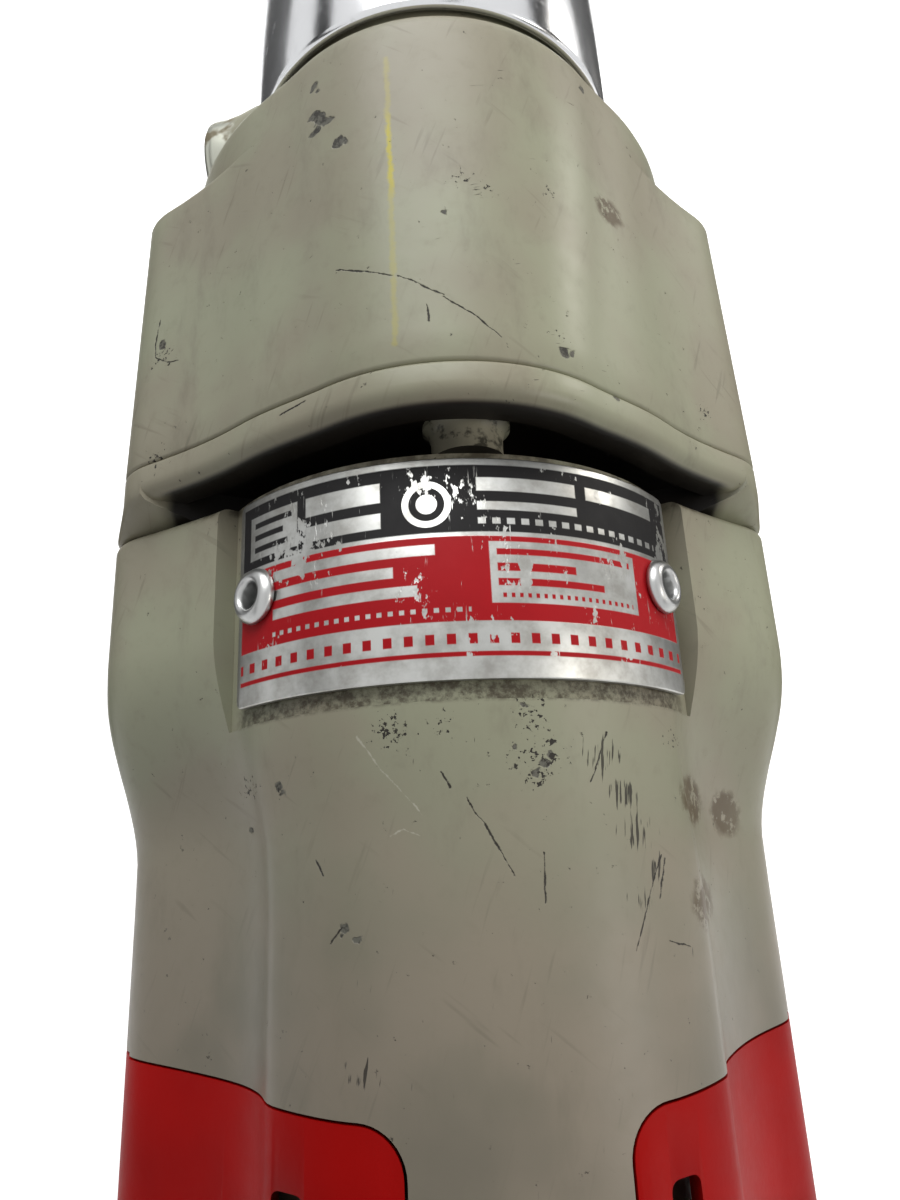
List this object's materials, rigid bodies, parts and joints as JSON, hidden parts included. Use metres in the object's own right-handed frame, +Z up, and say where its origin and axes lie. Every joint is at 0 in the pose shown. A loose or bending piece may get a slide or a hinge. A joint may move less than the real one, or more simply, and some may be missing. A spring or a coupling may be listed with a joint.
{
  "type": "right angle drill",
  "caption": "Corded electric drill with a rear D handle, a clamped right angle head that swivels, and a keyed three-jaw chuck.",
  "frame": {"origin": "centre of the drill's outline on the ground, with the chuck's nose and the handle's foot standing on it", "axes": "+X to the right, +Y from the handle towards the right angle head, +Z up"},
  "size_m": [0.092, 0.423, 0.141],
  "materials": {
    "paint": "satin grey-green enamel, chipped and scratched",
    "red_plastic": "fine-grained satin",
    "chrome": "polished, lightly scuffed",
    "steel": "ground",
    "dark_steel": "blackened and oiled",
    "plate": "thin printed sheet",
    "copper": "enamelled copper",
    "brass": "plain",
    "black_plastic": "moulded",
    "carbon": "pressed carbon",
    "head_metal": "cast and tumbled"
  },
  "bodies": {
    "drill_body": {"gear_case": "paint", "diaphragm": "paint", "motor_housing": "paint", "nameplate": "plate", "nameplate_rivet_left": "steel", "nameplate_rivet_right": "steel", "case_screw_1": "dark_steel", "case_screw_2": "dark_steel", "case_screw_3": "dark_steel", "case_screw_4": "dark_steel", "armature_bearing_front": "steel", "armature_bearing_rear": "steel", "field_core": "dark_steel", "field_coil_left": "copper", "field_coil_right": "copper", "brush_holder_left": "brass", "brush_holder_right": "brass", "brush_left": "carbon", "brush_right": "carbon", "first_shaft_bush": "brass", "second_shaft_bush": "brass", "spindle_bearing": "steel", "spindle_bush": "brass", "clamp_sleeve": "chrome", "clamp_screw_1": "dark_steel", "clamp_screw_2": "dark_steel", "handle_left": "red_plastic", "handle_right": "red_plastic", "handle_screw_1": "dark_steel", "handle_screw_2": "dark_steel", "handle_screw_3": "dark_steel", "handle_screw_4": "dark_steel", "switch_body": "black_plastic"},
    "armature": {"armature_shaft": "steel", "armature_core": "dark_steel", "commutator": "copper", "fan": "black_plastic"},
    "first_idler": {"first_gear": "steel", "first_shaft": "steel"},
    "second_idler": {"second_gear": "steel", "second_shaft": "steel"},
    "drill_spindle_group": {"spindle_gear": "steel", "drill_spindle": "steel"},
    "angle_head": {"head_housing": "head_metal", "head_cap": "head_metal", "pinion_bearing": "steel", "pinion_bush": "brass", "output_bearing_upper": "steel", "output_bearing_lower": "steel"},
    "pinion_shaft": {"bevel_pinion": "steel"},
    "output": {"bevel_gear": "steel", "output_spindle": "steel", "chuck_body": "dark_steel"},
    "chuck_ring": {"chuck_sleeve": "dark_steel"},
    "jaw_1": {"chuck_jaw_1": "steel"},
    "jaw_2": {"chuck_jaw_2": "steel"},
    "jaw_3": {"chuck_jaw_3": "steel"},
    "trigger_body": {"trigger": "black_plastic"},
    "lever_body": {"reversing_lever": "black_plastic"},
    "lock_body": {"lock_button": "black_plastic"}
  },
  "joints": [
    {"name": "head_swivel", "type": "hinge", "parent": "drill_body", "child": "angle_head", "pos_m": [0, 0.1855, 0.11], "axis": [0, 1, 0], "continuous": true},
    {"name": "armature_spin", "type": "hinge", "parent": "drill_body", "child": "armature", "pos_m": [0, 0, 0.0952], "axis": [0, 1, 0], "continuous": true},
    {"name": "first_idler_spin", "type": "hinge", "parent": "drill_body", "child": "first_idler", "pos_m": [0.00755, 0.05, 0.07997], "axis": [0, 1, 0], "continuous": true},
    {"name": "second_idler_spin", "type": "hinge", "parent": "drill_body", "child": "second_idler", "pos_m": [0.0175, 0.05, 0.09586], "axis": [0, 1, 0], "continuous": true},
    {"name": "spindle_spin", "type": "hinge", "parent": "drill_body", "child": "drill_spindle_group", "pos_m": [0, 0.07, 0.11], "axis": [0, 1, 0], "continuous": true},
    {"name": "bevel_pinion_spin", "type": "hinge", "parent": "angle_head", "child": "pinion_shaft", "pos_m": [0, 0.1855, 0.11], "axis": [0, 1, 0], "continuous": true},
    {"name": "output_spin", "type": "hinge", "parent": "angle_head", "child": "output", "pos_m": [0, 0.1855, 0.11], "axis": [0, 0, 1], "continuous": true},
    {"name": "chuck_ring_turn", "type": "hinge", "parent": "output", "child": "chuck_ring", "pos_m": [0, 0.1855, 0.034], "axis": [0, 0, 1], "range_deg": [-675, 1985]},
    {"name": "jaw_1_slide", "type": "slide", "parent": "output", "child": "jaw_1", "axis": [-0.2588, 0, -0.9659], "range_m": [-0.006, 0.0176]},
    {"name": "jaw_2_slide", "type": "slide", "parent": "output", "child": "jaw_2", "axis": [0.1294, -0.2241, -0.9659], "range_m": [-0.006, 0.0176]},
    {"name": "jaw_3_slide", "type": "slide", "parent": "output", "child": "jaw_3", "axis": [0.1294, 0.2241, -0.9659], "range_m": [-0.006, 0.0176]},
    {"name": "trigger_pull", "type": "slide", "parent": "drill_body", "child": "trigger_body", "axis": [0, -1, 0], "range_m": [0, 0.0052], "stiffness_N_per_m": 700, "springref_m": -0.004},
    {"name": "reversing_lever_swing", "type": "hinge", "parent": "drill_body", "child": "lever_body", "pos_m": [0, -0.1805, 0.0885], "axis": [0, 0, 1], "range_deg": [-12, 12]},
    {"name": "lock_button_press", "type": "slide", "parent": "drill_body", "child": "lock_body", "axis": [1, 0, 0], "range_m": [0, 0.0022], "stiffness_N_per_m": 400, "springref_m": -0.002}
  ],
  "couplings": [
    {"joint": "first_idler_spin", "follows": "armature_spin", "ratio": -0.25926},
    {"joint": "second_idler_spin", "follows": "armature_spin", "ratio": 0.094276},
    {"joint": "spindle_spin", "follows": "armature_spin", "ratio": -0.031425},
    {"joint": "bevel_pinion_spin", "follows": "armature_spin", "ratio": -0.031425},
    {"joint": "output_spin", "follows": "armature_spin", "ratio": -0.02095},
    {"joint": "jaw_1_slide", "follows": "chuck_ring_turn", "m_per_rad": 0.00050532},
    {"joint": "jaw_2_slide", "follows": "chuck_ring_turn", "m_per_rad": 0.00050532},
    {"joint": "jaw_3_slide", "follows": "chuck_ring_turn", "m_per_rad": 0.00050532}
  ]
}
